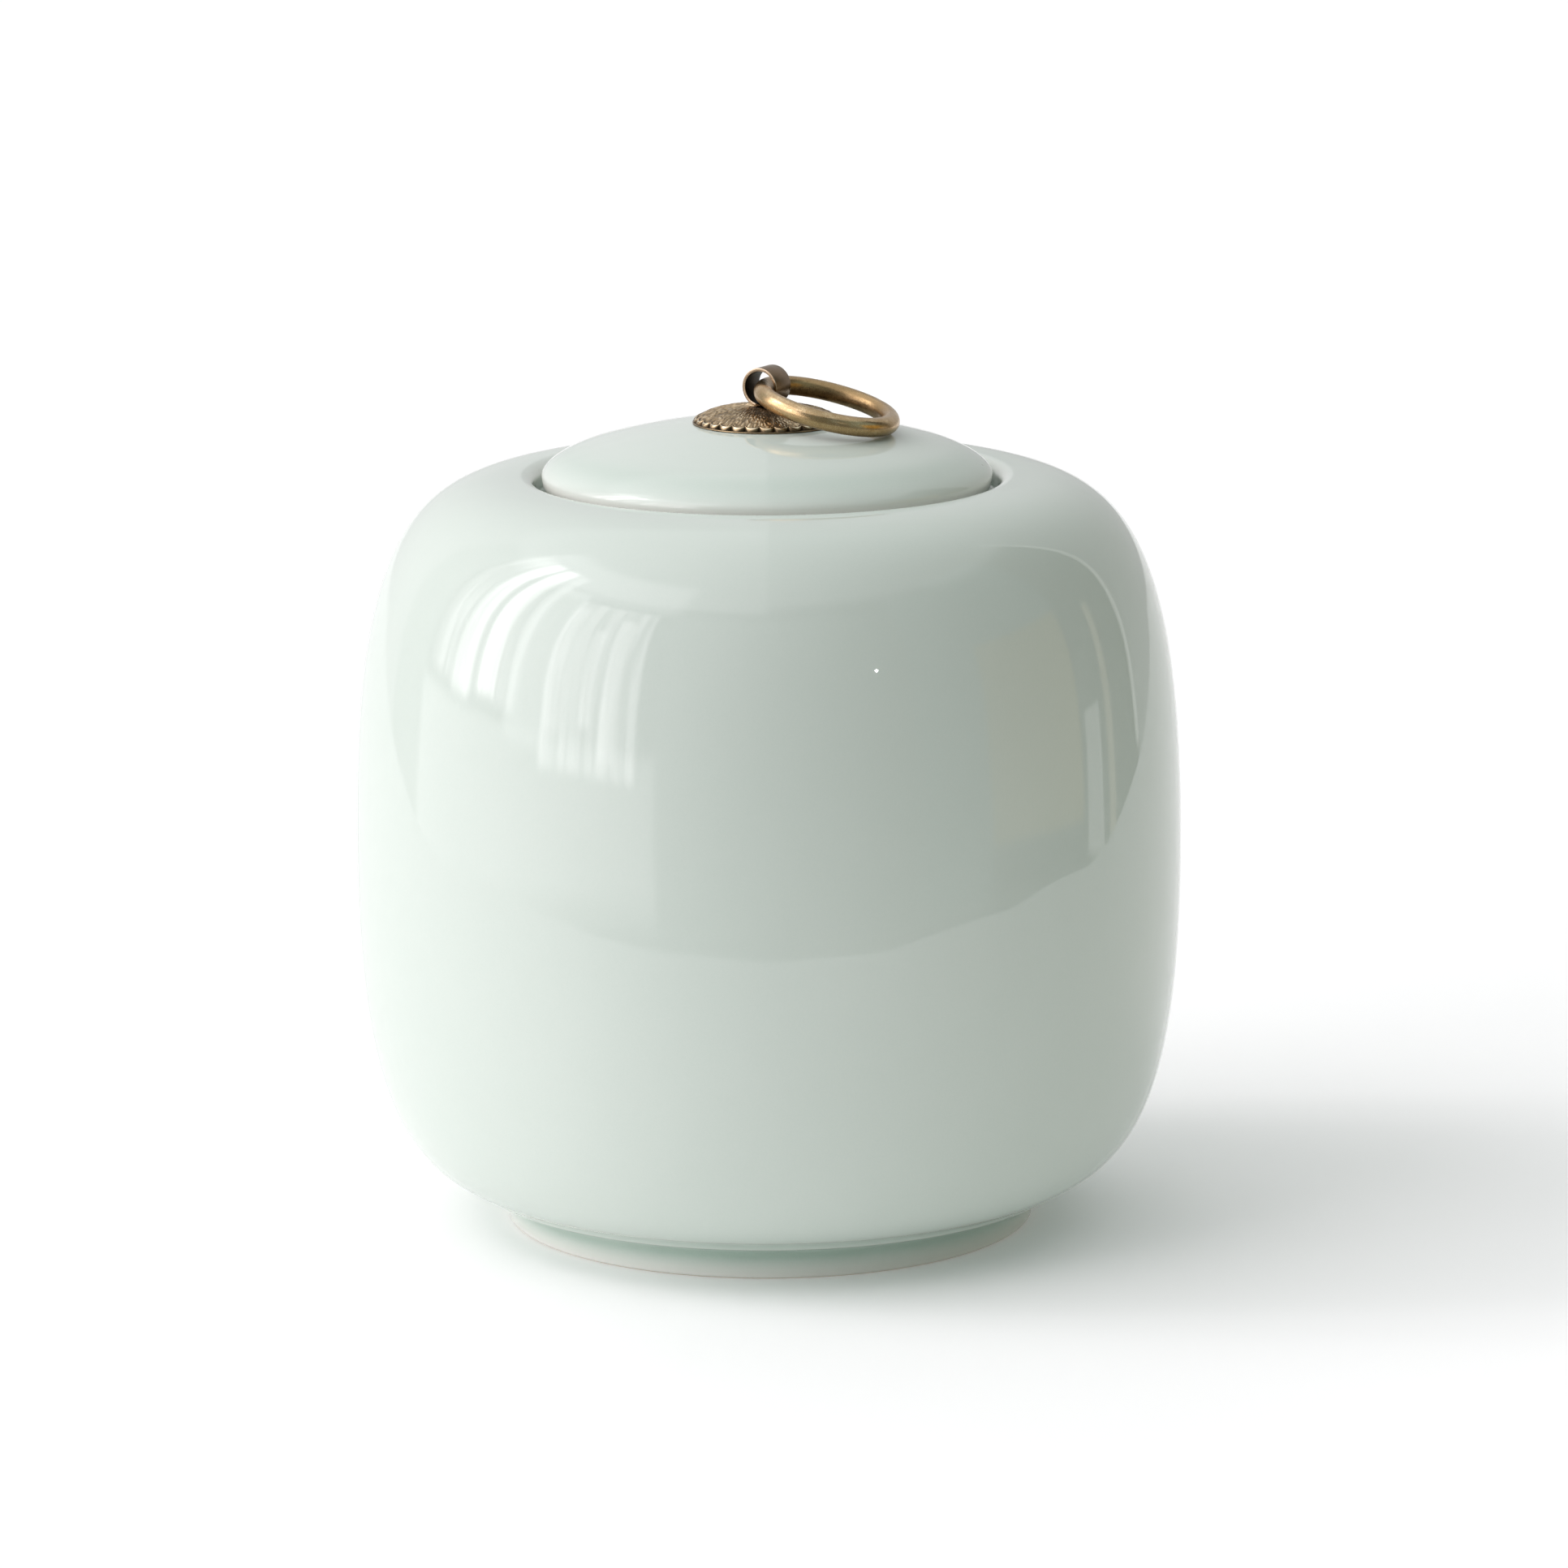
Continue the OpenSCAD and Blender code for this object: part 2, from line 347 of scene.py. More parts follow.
def glaze_depth_effect():
    """Glaze colour by thickness: pale where it runs thin, green where it pools.

    Soft clouds, fine bubbles and a few iron specks break it up.
    """
    nodes, given, out = effect(
        "Glaze depth",
        [("Glaze", "colour", None), ("Thin glaze", "colour", None),
         ("Pooled glaze", "colour", None), ("Thin", "value", 0), ("Pooled", "value", 0),
         ("Cloud size", "value", 0.02), ("Cloud strength", "value", 0.1),
         ("Coords", "vector", None)],
        [("Colour", "colour"), ("Height", "value")])
    cloud_scale = nodes.math("DIVIDE", 1.0, given["Cloud size"])
    clouds = nodes.noise(given["Coords"], cloud_scale, 4.0)
    speckle = nodes.noise(given["Coords"], 2600.0, 2.0)
    wobble = nodes.math("MULTIPLY_ADD", nodes.math("SUBTRACT", clouds, 0.5), 0.9)
    wobble.node.inputs[2].default_value = 1.0
    thin = nodes.math("MULTIPLY", given["Thin"], wobble, clamp=True)
    pooled = nodes.math("MULTIPLY", given["Pooled"], wobble, clamp=True)
    colour = nodes.mix(thin, given["Glaze"], given["Thin glaze"])
    colour = nodes.mix(pooled, colour, given["Pooled glaze"])
    drift = nodes.math("MULTIPLY", nodes.ramp(clouds, 0.3, 0.7), given["Cloud strength"])
    colour = nodes.mix(drift, colour, given["Pooled glaze"])
    bubbles = nodes.math("MULTIPLY", nodes.ramp(speckle, 0.35, 0.65), 0.05)
    colour = nodes.mix(bubbles, colour, given["Thin glaze"])
    cell = nodes.add("ShaderNodeTexVoronoi", {"Vector": given["Coords"], "Scale": 42.0}).outputs
    few = nodes.math("GREATER_THAN", nodes.add("ShaderNodeSeparateColor",
                                               {0: cell["Color"]}).outputs[0], 0.6)
    iron = nodes.math("MULTIPLY", nodes.ramp(cell["Distance"], 0.016, 0.006), few)
    colour = nodes.mix(nodes.math("MULTIPLY", iron, 0.6), colour, (0.12, 0.08, 0.05, 1))
    nodes.set(out["Colour"], colour)
    ripple = nodes.noise(given["Coords"], 40.0, 1.0)
    nodes.set(out["Height"], nodes.math("ADD", ripple, nodes.math("MULTIPLY", speckle, 0.002)))
    return nodes.tree


def aged_brass_effect():
    """Antiqued brass: dark patina in the hollows, worn bright on what stands out. On the ring and
    the eye the same level also carries a painted highlight and painted shade.
    """
    nodes, given, out = effect(
        "Aged brass",
        [("Patina", "colour", None), ("Brass", "colour", None), ("Rubbed brass", "colour", None),
         ("Wear and painted light", "value", 0), ("Grain size", "value", 0.0004), ("Grain", "value", 0.5),
         ("Coords", "vector", None)],
        [("Colour", "colour"), ("Roughness", "value"), ("Height", "value")])
    grain_scale = nodes.math("DIVIDE", 1.0, given["Grain size"])
    grain = nodes.noise(given["Coords"], grain_scale, 4.0, 0.65)
    blotch = nodes.noise(given["Coords"], nodes.math("MULTIPLY", grain_scale, 0.12), 3.0)
    blotch = nodes.math("MULTIPLY", nodes.math("SUBTRACT", blotch, 0.5), 0.3)
    spread = nodes.math("MULTIPLY", nodes.math("SUBTRACT", grain, 0.5), given["Grain"])
    level = nodes.math("ADD", given["Wear and painted light"], nodes.math("ADD", spread, blotch))
    colour = nodes.mix(nodes.ramp(level, 0.0, 0.5), given["Patina"], given["Brass"])
    colour = nodes.mix(nodes.ramp(level, 0.45, 1.0), colour, given["Rubbed brass"])
    nodes.set(out["Colour"], colour)
    nodes.set(out["Roughness"], nodes.blend(nodes.ramp(level, 0.0, 0.8), DULL, POLISHED))
    nodes.set(out["Height"], grain)
    return nodes.tree


DULL, POLISHED = 0.42, 0.20   # roughness of brass under patina and of rubbed brass
GLAZE_DEPTH = glaze_depth_effect()
AGED_BRASS = aged_brass_effect()


# ---------------------------------------------------------------- materials

GLAZE = (0.602, 0.665, 0.616)
THIN_GLAZE = (0.80, 0.78, 0.74, 1)
POOLED_GLAZE = (0.36, 0.48, 0.41, 1)
CLAY = (0.62, 0.52, 0.40, 1), (0.74, 0.68, 0.58, 1)


def celadon(name, glaze, ripple):
    """Celadon glaze over porcelain, with bare clay where the layer says so.

    ripple is the height of the glaze's slow waves, in metres.
    """
    material, nodes, shader = new_material(name)
    coords = nodes.object_coords()
    depth = nodes.group(GLAZE_DEPTH, {
        "Glaze": (*glaze, 1), "Thin glaze": THIN_GLAZE, "Pooled glaze": POOLED_GLAZE,
        "Thin": nodes.layer("thin"), "Pooled": nodes.layer("pooled"), "Cloud size": 0.045,
        "Cloud strength": 0.05, "Coords": coords})
    grit = nodes.noise(coords, 1800.0, 4.0)
    clay = nodes.mix(nodes.ramp(grit, 0.3, 0.7), *CLAY)
    bare = nodes.layer("bare")
    nodes.set(shader.inputs["Base Color"], nodes.mix(bare, depth.outputs["Colour"], clay))
    nodes.set(shader.inputs["Roughness"], nodes.blend(bare, 0.022, 0.75))
    shader.inputs["IOR"].default_value = 1.5
    bump = nodes.add("ShaderNodeBump", {"Height": depth.outputs["Height"], "Distance": ripple,
                                        "Strength": 1.0})
    nodes.set(shader.inputs["Normal"], bump.outputs[0])
    return material


def brass(name, patina, metal, rubbed_metal, wear_and_painted_light, grain_size, grain, bump):
    """Aged brass. Its wear is a number, or the name of the layer that rubbing follows; on the ring
    and the eye that layer also holds a painted highlight and painted shade.
    """
    material, nodes, shader = new_material(name)
    coords = nodes.object_coords()
    value = nodes.layer(wear_and_painted_light) if isinstance(wear_and_painted_light, str) else wear_and_painted_light
    aged = nodes.group(AGED_BRASS, {
        "Patina": (*patina, 1), "Brass": (*metal, 1), "Rubbed brass": (*rubbed_metal, 1),
        "Wear and painted light": value, "Grain size": grain_size, "Grain": grain, "Coords": coords})
    nodes.set(shader.inputs["Base Color"], aged.outputs["Colour"])
    nodes.set(shader.inputs["Roughness"], aged.outputs["Roughness"])
    shader.inputs["Metallic"].default_value = 1.0
    relief = nodes.add("ShaderNodeBump", {"Height": aged.outputs["Height"], "Distance": bump,
                                          "Strength": 1.0})
    nodes.set(shader.inputs["Normal"], relief.outputs[0])
    return material


def rubber(name, colour, roughness, milky):
    """Moulded rubber with a fine matt skin; milky rubber lets some light in."""
    material, nodes, shader = new_material(name)
    coords = nodes.object_coords()
    skin = nodes.noise(coords, 5200.0, 3.0)
    shade = tuple(c * 0.86 for c in colour)
    mottled = nodes.mix(nodes.ramp(skin, 0.3, 0.7), (*shade, 1), (*colour, 1))
    nodes.set(shader.inputs["Base Color"], mottled)
    nodes.set(shader.inputs["Roughness"], nodes.blend(skin, roughness - 0.06, roughness + 0.06))
    shader.inputs["Subsurface Weight"].default_value = milky
    shader.inputs["Subsurface Radius"].default_value = (0.002, 0.002, 0.002)
    shader.inputs["Subsurface Scale"].default_value = 1.0
    bump = nodes.add("ShaderNodeBump", {"Height": skin, "Distance": 0.00002, "Strength": 0.6})
    nodes.set(shader.inputs["Normal"], bump.outputs[0])
    return material


# ---------------------------------------------------------------- jar body and lid

def jar_outline():
    """The jar's section, from the recess's middle round the outside to the floor's middle."""
    foot = rounded([(0, RECESS_H, 0), (FOOT_INNER_R, RECESS_H, 2.0),
                    (FOOT_INNER_R, 0, FOOT_EDGE), (FOOT_R, 0, FOOT_EDGE), (FOOT_R, 2, 0)])
    cove = cubic((FOOT_R, 2), (FOOT_R, 5), (FOOT_R + 3, 7.1), COVE_EDGE, 14)
    groove = cubic(COVE_EDGE, (COVE_EDGE[0] + 1.4, COVE_EDGE[1] + 1.1),
                   (BELLY_EDGE[0] - 1.6, BELLY_EDGE[1] - 0.55), BELLY_EDGE, 10)
    lower = cubic(BELLY_EDGE, (BELLY_EDGE[0] + 10.7, BELLY_EDGE[1] + 5.35),
                  (BELLY_R, BELLY_Z - 47.4), (BELLY_R, BELLY_Z), 60)
    upper = cubic((BELLY_R, BELLY_Z), (BELLY_R, BELLY_Z + 57.6), (CREST_R + 24.2, CREST_Z),
                  (CREST_R, CREST_Z), 72)
    lip = cubic((CREST_R, CREST_Z), (CREST_R - 2.8, CREST_Z), (LIP_R, CREST_Z - 1.6),
                (LIP_R, CREST_Z - 3.3), 14)
    neck = rounded([(LIP_R, CREST_Z - 3.3, 0), (LIP_R, LEDGE_Z, 0.8), (NECK_R, LEDGE_Z, 0.4),
                    (NECK_R, NECK_LOW_Z, 1.0), (NECK_R + 4.5, NECK_LOW_Z, 2.0),
                    (NECK_R + 8.5, NECK_LOW_Z + 3.2, 3.0), (*UNDER_SHOULDER, 0)])
    inner_r = BELLY_R - WALL
    inside = cubic(UNDER_SHOULDER, (NECK_R + 31, CREST_Z - 6.3),
                   (inner_r, BELLY_Z + 54.9), (inner_r, BELLY_Z), 36)
    inside += cubic((inner_r, BELLY_Z), (inner_r, BELLY_Z - 44.6),
                    (FLOOR_R + 14, FLOOR_Z + 2.7), (FLOOR_R, FLOOR_Z), 36)
    points = foot + cove + groove + lower + upper + lip + neck + inside + [(0, FLOOR_Z)]
    return fill_in(points, 3.0)


def lid_outline():
    """The lid's section as a closed loop: dome, rim, seat, collar and hollow."""
    fall = (math.sqrt(LID_DOME_R ** 2 - LID_TURN_R ** 2) / LID_DOME_R,
            -LID_TURN_R / LID_DOME_R)   # the dome's slope where it turns down to the rim
    crown = dome(LID_DOME_R, BORE_R + BORE_EDGE, LID_TURN_R, 34)
    turn = crown[-1]
    rim = cubic(turn, (turn[0] + 5.3 * fall[0], turn[1] + 5.3 * fall[1]),
                (LID_R, LID_RIM_Z + 1.9), (LID_R, LID_RIM_Z), 24)
    rim += cubic((LID_R, LID_RIM_Z), (LID_R, LID_RIM_Z - 2.6), (LID_R - 1.2, SEAT_Z),
                 (LID_R - 2.8, SEAT_Z), 14)
    inner_turn_r = COLLAR_INNER_R - 3
    hollow = dome(LID_DOME_R - LID_T, inner_turn_r, BORE_R + BORE_EDGE, 24)
    turn_z = hollow[0][1]
    groove_low, groove_high = seal_low.z - 0.3, seal_high.z + 0.3
    collar = rounded([(LID_R - 2.8, SEAT_Z, 0), (COLLAR_R, SEAT_Z, 0.6),
                      (COLLAR_R, groove_high, 0.15), (GROOVE_R, groove_high, 0.2),
                      (GROOVE_R, groove_low, 0.2), (COLLAR_R, groove_low, 0.15),
                      (COLLAR_R, COLLAR_LOW_Z, 0.9), (COLLAR_INNER_R, COLLAR_LOW_Z, 0.9),
                      (COLLAR_INNER_R, turn_z - 3, 0)])
    inner = cubic((COLLAR_INNER_R, turn_z - 3), (COLLAR_INNER_R, turn_z - 1.3),
                  (inner_turn_r + 1.6, turn_z - 0.4), (inner_turn_r, turn_z), 10)
    bore_low = (BORE_R, hollow[-1][1] + BORE_EDGE)
    bore_high = (BORE_R, crown[0][1] - BORE_EDGE)
    return close_loop(crown + rim + collar + inner + hollow + [bore_low, bore_high], 2.5)


def make_jar_body():
    """The turned body: glazed all over but for the foot ring's wiped face."""
    glaze = celadon("Celadon body glaze", GLAZE, 0.00012)
    marks = {
        "thin": spots([(LIP_R + 1.0, CREST_Z - 1.0, 1.5, 0.35), (*BELLY_EDGE, 0.45, 0.45),
                       (*COVE_EDGE, 0.45, 0.55), (FOOT_R, 0.4, 2.5, 0.85),
                       (NECK_R, LEDGE_Z, 1.0, 0.7), (NECK_R, NECK_LOW_Z, 1.2, 0.6)]),
        "pooled": spots([(FOOT_R + 1.6, 5.7, 2.5, 0.90),
                         ((BELLY_EDGE[0] + COVE_EDGE[0]) / 2, 9.3, 1.2, 0.35),
                         (LIP_R, LEDGE_Z, 1.2, 0.6), (FLOOR_R + 6, FLOOR_Z + 1, 9.0, 0.4)]),
        "bare": lambda r, z: 1.0 if z < 0.22 and r > FOOT_INNER_R - 0.5 else 0.0,
    }
    vertices, faces, layers = lathe(jar_outline(), marks)
    new_piece("jar_body", vertices, faces, "jar", ["jar_body"], glaze, layers)


def make_lid():
    """The turned lid: glazed all over but for its seat."""
    glaze = celadon("Celadon lid glaze", tuple(c * 1.02 for c in GLAZE), 0.00008)
    marks = {
        "thin": spots([(LID_R, LID_RIM_Z - 2.0, 2.4, 0.95),
                       (LID_R - 1.5, LID_RIM_Z - 4.5, 2.4, 0.6),
                       (BORE_R, LID_TOP_Z, 0.8, 0.8), (COLLAR_R, COLLAR_LOW_Z, 1.2, 0.8)]),
        "pooled": spots([(LID_R - 5.0, 158.2, 3.6, 0.22), (COLLAR_R, SEAT_Z, 0.8, 0.5),
                         (COLLAR_INNER_R, 152.0, 3.0, 0.4)]),
        "bare": lambda r, z: 1.0 if abs(z - SEAT_Z) < 0.15 and r > COLLAR_R else 0.0,
    }
    vertices, faces, layers = lathe(lid_outline(), marks)
    new_piece("lid", vertices, faces, "lid", ["lid"], glaze, layers)


# ---------------------------------------------------------------- seal and washers

def make_seal():
    """A silicone band with two round ribs."""
    low, high = seal_low.z, seal_high.z
    middle = (low + high) / 2
    rib_r = 0.7
    base_r, rib_out = GROOVE_R + 0.3, seal_high.x
    outline = rounded([(base_r, low, 0.15), (rib_out - rib_r, low, 0), (rib_out, low, rib_r),
                       (rib_out, middle - 0.05, rib_r), (rib_out - rib_r - 0.1, middle, 0),
                       (rib_out, middle + 0.05, rib_r), (rib_out, high, rib_r),
                       (rib_out - rib_r, high, 0), (base_r, high, 0.15)], 8)
    vertices, faces, layers = lathe(close_loop(outline, 0.6), {})
    silicone = rubber("Milky silicone", (0.78, 0.80, 0.76), 0.42, 0.4)
    new_piece("lid_seal", vertices, faces, "seal", ["lid_seal"], silicone, layers)


def make_washer(name, low, high, hole_r, edge, material):
    """A pressed or punched washer with a small round on its edges."""
    radius = high.x
    outline = rounded([(hole_r, low.z, edge), (radius, low.z, edge), (radius, high.z, edge),
                       (hole_r, high.z, edge)], 5)
    vertices, faces, layers = lathe(close_loop(outline, 0.8), {}, WASHER_TURNS)
    new_piece(name, vertices, faces, "lid", [name], material, layers)


# ---------------------------------------------------------------- rosette

def rosette_dome(r):
    """Height of the plain stamped dome at a radius."""
    return ROSETTE_RIM_Z + (ROSETTE_TOP_Z - ROSETTE_RIM_Z) * (1 - (r / ROSETTE_R) ** 4.2)


def petal_edge(offset):
    """Radius of a petal's round edge at an angle from the petal's middle."""
    across = LOBE_AT * math.sin(offset)
    return LOBE_AT * math.cos(offset) + math.sqrt(max(LOBE_R ** 2 - across ** 2, 0.0))


def petal_relief(r, offset, edge_r, angle):
    """Relief above the dome in millimetres, and how much it stands out, from 0 to 1.

    A bead runs round the petal's tip with a gutter inside it, ribs part the petals, and the
    petal's face is hammered, with radial strokes and round blobs.
    """
    side = r * math.tan(HALF_PETAL) - abs(r * math.tan(offset))
    tip = edge_r - r
    grown = min(1.0, max(0.0, (r - 3.5) / 4.0))
    swell = 1 - (offset / HALF_PETAL) ** 2
    bead_width = 0.09 + 0.15 * swell
    bead = bump_at(tip - 0.10 - bead_width, bead_width) * (0.45 + 0.55 * swell)
    rib = bump_at(side, 0.11) * grown if tip > 0.3 else 0.0
    gutter = bump_at(tip - 0.25 - 2.2 * bead_width, 0.16)
    bend = 0.35 * noise.noise(Vector((r * 0.5, angle * 6.0, 9.0)))
    seed = Vector((r / 1.35 + bend, angle * 19.0 + bend, 0.0))
    near_pit, next_pit = noise.voronoi(seed)[0][:2]
    hammer = min(1.0, (next_pit - near_pit) / 0.34)
    stroke = 0.5 + 0.5 * noise.noise(Vector((r * 0.8, angle * 34.0, 4.0)))
    blob = 1 - min(1.0, near_pit / 0.42)
    inside = min(1.0, max(0.0, (tip - 0.55) / 0.25)) * (1 - 0.8 * rib)
    height = 0.10 * rib + 0.20 * bead - 0.06 * gutter
    height += inside * (0.13 * hammer + 0.05 * stroke + 0.06 * blob - 0.10)
    stand = 0.06 + 0.55 * rib * (0.4 + 0.6 * stroke) + 0.85 * bead - 0.10 * gutter
    stand += inside * (0.36 * hammer + 0.22 * stroke + 0.30 * blob)
    return height, min(1.0, max(0.0, stand))


def make_rosette():
    """The stamped sheet: round-ended petals in relief on a dome, over a plain round rim."""
    per_petal = 26
    around = PETALS * per_petal
    face_rows, back_rows = 130, 14
    roll_r = 0.22               # how the sheet rolls over at a petal's edge
    rim_low = ROSETTE_RIM_Z - 0.5
    rim_r = ROSETTE_R - 0.05
    rim_inner_r = ROSETTE_R - 1.8
    back_r = ROSETTE_R - 1.5
    angles = [2 * math.pi * k / around for k in range(around)]
    offsets = [((k + per_petal / 2) % per_petal - per_petal / 2) / per_petal * 2 * HALF_PETAL
               for k in range(around)]
    edges = [petal_edge(offset) for offset in offsets]
    vertices = []
    wear_and_painted_light = []

    def add(r, z, angle, stand):
        vertices.append((r * math.cos(angle), r * math.sin(angle), z))
        wear_and_painted_light.append(stand)

    for i in range(face_rows + 1):
        share = 1 - (1 - i / face_rows) ** 1.15
        for angle, offset, edge_r in zip(angles, offsets, edges):
            r = ROSETTE_HOLE_R + (edge_r - ROSETTE_HOLE_R) * share
            height, stand = petal_relief(r, offset, edge_r, angle)
            over = max(0.0, r - (edge_r - roll_r))
            drop = roll_r - math.sqrt(max(roll_r ** 2 - over ** 2, 0.0))
            add(r, rosette_dome(r) + height - drop, angle, stand)
    for to_rim, out, up, stand in ((0, 0.005, 0.36, 0.04), (0, 0.02, 0.31, 0.02),
                                   (0.5, 0, 0.30, 0.12)):
        for angle, edge_r in zip(angles, edges):
            add(edge_r + (rim_r - edge_r) * to_rim + out, rim_low + up, angle, stand)
    rounds = [(rim_r, rim_low + 0.29, 0.30), (ROSETTE_R, rim_low + 0.24, 0.32),
              (ROSETTE_R, rim_low + 0.05, 0.16), (rim_r, rim_low, 0.05),
              (rim_inner_r, rim_low + 0.2, 0.05), (rim_inner_r, rim_low + 0.45, 0.05)]
    for i in range(back_rows + 1):
        r = back_r - (back_r - ROSETTE_HOLE_R) * i / back_rows
        rounds.append((r, rosette_dome(r) - ROSETTE_T, 0.05))
    for r, z, stand in rounds:
        for angle in angles:
            add(r, z, angle, stand)
    faces = []
    rows = len(vertices) // around
    for i in range(rows):
        a, b = i * around, ((i + 1) % rows) * around
        for k in range(around):
            n = (k + 1) % around
            faces.append((a + k, b + k, b + n, a + n))
    metal = brass("Stamped antique brass", (0.055, 0.038, 0.022), (0.43, 0.315, 0.190),
                  (0.98, 0.86, 0.64), "wear_and_painted_light", 0.00020, 0.22, 0.00002)
    new_piece("rosette", vertices, faces, "lid", ["rosette"], metal,
              {"wear_and_painted_light": wear_and_painted_light})


# ---------------------------------------------------------------- eye

def eye_path():
    """The strip's middle line in its own plane, from tip to tip, as (x, z, width).

    Width goes from 0 on the narrow legs to 1 on the full loop.
    """
    half = LEG_GAP / 2 + STRIP_T / 2
    loop_r = EYE_R - STRIP_T / 2
    bend_r = 0.8                # where a leg bends out into the loop
    splay_z = eye_low.z + STRIP_T / 2
    bend_x = half + bend_r
    bend_z = EYE_Z - math.sqrt((loop_r + bend_r) ** 2 - bend_x ** 2)
    meet = math.atan2(EYE_Z - bend_z, -bend_x)
    side = [(SPLAY_L - 0.35 * i, splay_z, 0.0) for i in range(19)]
    splay_bend_r = 0.7
    for k in range(9):
        turn = math.pi / 2 * k / 8
        side.append((half + splay_bend_r - splay_bend_r * math.sin(turn),
                     splay_z + splay_bend_r - splay_bend_r * math.cos(turn), 0.0))
    leg_low = splay_z + splay_bend_r
    leg_steps, loop_steps = 26, 96
    for k in range(1, leg_steps + 1):
        side.append((half, leg_low + (bend_z - leg_low) * k / leg_steps, 0.0))
    for k in range(1, 9):
        turn = math.pi + (meet - math.pi) * k / 8
        side.append((bend_x + bend_r * math.cos(turn), bend_z + bend_r * math.sin(turn), k / 8))
    start = math.atan2(bend_z - EYE_Z, bend_x)
    sweep = math.pi - 2 * start
    loop = []
    for k in range(1, loop_steps):
        turn = start + sweep * k / loop_steps
        loop.append((loop_r * math.cos(turn), EYE_Z + loop_r * math.sin(turn), 1.0))
    other = [(-x, z, w) for x, z, w in reversed(side)]
    return side + loop + other


def make_eye():
    """One strip bent to a loop with two legs, its edges softened and worn bright, which also paints
    their highlight; its inner face is kept dark as painted shade.
    """
    path = eye_path()
    edge = 0.12                 # round on the strip's four edges
    section = []
    for sx, sy, start in ((1, 1, 0), (-1, 1, 90), (-1, -1, 180), (1, -1, 270)):
        for k in range(4):
            turn = math.radians(start + 30 * k)
            section.append((sx, sy, edge * math.cos(turn), edge * math.sin(turn)))
    vertices = []
    wear_and_painted_light = []
    count = len(path)
    for i, (x, z, wide) in enumerate(path):
        before, after = path[max(i - 1, 0)], path[min(i + 1, count - 1)]
        along = Vector((after[0] - before[0], after[1] - before[1])).normalized()
        normal = Vector((along.y, -along.x))
        smooth = wide * wide * (3 - 2 * wide)
        half_w = (LEG_W + (STRIP_W - LEG_W) * smooth) / 2
        half_t = STRIP_T / 2
        for sx, sy, dx, dy in section:
            out = sx * (half_t - edge) + dx
            across = sy * (half_w - edge) + dy
            point = Vector((x + normal.x * out, across, z + normal.y * out))
            point.rotate(Matrix.Rotation(EYE_TURN, 3, "Z"))
            vertices.append(tuple(point))
            # Inner face near-black: painted shade inside the loop and between the legs. Bright
            # edges: wear, and also a painted highlight.
            corner = 1 - abs(abs(dx) - abs(dy)) / edge
            face = 0.55 if abs(dy) > abs(dx) else 0.42 if sx > 0 else 0.05
            wear_and_painted_light.append((face + 0.45 * corner) * (1.0 if wide > 0 else 0.6))
    per = len(section)
    faces = []
    for i in range(count - 1):
        a, b = i * per, (i + 1) * per
        for k in range(per):
            n = (k + 1) % per
            faces.append((a + k, a + n, b + n, b + k))
    faces.append(tuple(reversed(range(per))))
    faces.append(tuple((count - 1) * per + k for k in range(per)))
    metal = brass("Antique strip brass", (0.030, 0.022, 0.014), (0.26, 0.180, 0.112),
                  (0.86, 0.70, 0.54), "wear_and_painted_light", 0.00020, 0.45, 0.00002)
    new_piece("eye_pin", vertices, faces, "eye", ["eye_pin"], metal,
              {"wear_and_painted_light": wear_and_painted_light})


# ---------------------------------------------------------------- drop ring

def make_ring():
    """A ring of round wire, a little uneven, worn bright on its outside, with a painted highlight
    on its upper side and painted shade where it passes through the eye.
    """
    around, section = 288, 56
    uneven = 0.005
    vertices = []
    wear_and_painted_light = []
    tilt = Matrix.Rotation(RING_TILT, 3, "Y")
    for i in range(around):
        angle = 2 * math.pi * i / around
        for k in range(section):
            turn = 2 * math.pi * k / section
            flat = Vector((math.cos(angle), math.sin(angle), 0))
            wire_r = WIRE_R + noise.noise(Vector((flat.x * 3, flat.y * 3, turn * 0.7))) * uneven
            reach = RING_R + wire_r * math.cos(turn)
            point = Vector((RING_R + reach * flat.x, reach * flat.y, wire_r * math.sin(turn)))
            point.rotate(tilt)
            vertices.append(tuple(point + RING_PIVOT))
            # Wear brightens the outside. The lift on the upper side is a painted highlight, and the
            # dip inside the eye is painted shade.
            outer = 0.5 + 0.5 * math.cos(turn)
            upper = max(0.0, math.sin(turn))
            painted_shade_in_eye = bump_at(math.pi - angle, 0.35)
            wear_and_painted_light.append(min(1.0, 0.22 + 0.26 * outer + 0.22 * upper - 0.10 * painted_shade_in_eye))
    faces = []
    for i in range(around):
        a, b = i * section, ((i + 1) % around) * section
        for k in range(section):
            n = (k + 1) % section
            faces.append((a + k, b + k, b + n, a + n))
    metal = brass("Burnished wire brass", (0.090, 0.058, 0.028), (0.43, 0.290, 0.145),
                  (1.0, 0.82, 0.56), "wear_and_painted_light", 0.00020, 0.65, 0.000012)
    new_piece("drop_ring", vertices, faces, "ring", ["drop_ring"], metal,
              {"wear_and_painted_light": wear_and_painted_light})


make_jar_body()
make_lid()
make_seal()
make_washer("cushion_washer", cushion_low, cushion_high, BORE_R, 0.25,
            rubber("Black rubber", (0.035, 0.034, 0.032), 0.6, 0.0))
make_washer("backing_washer", backing_low, backing_high, BORE_R, 0.18,
            brass("Plain pressed brass", (0.28, 0.19, 0.08), (0.62, 0.44, 0.19), (0.86, 0.66, 0.34),
                  0.55, 0.00030, 0.25, 0.00001))
make_rosette()
make_eye()
make_ring()


# ---------------------------------------------------------------- floor, light and camera

CAMERA_AZIMUTH = math.radians(18.0)
CAMERA_DISTANCE = 1.4484
CAMERA_HEIGHT = 0.3957
CAMERA_PITCH = math.radians(11.936)
CAMERA_YAW = math.radians(0.1257)
CAMERA_ROLL = math.radians(-0.241)
CAMERA_LENS = 166.5
LAMP_AIM_Z = 0.12


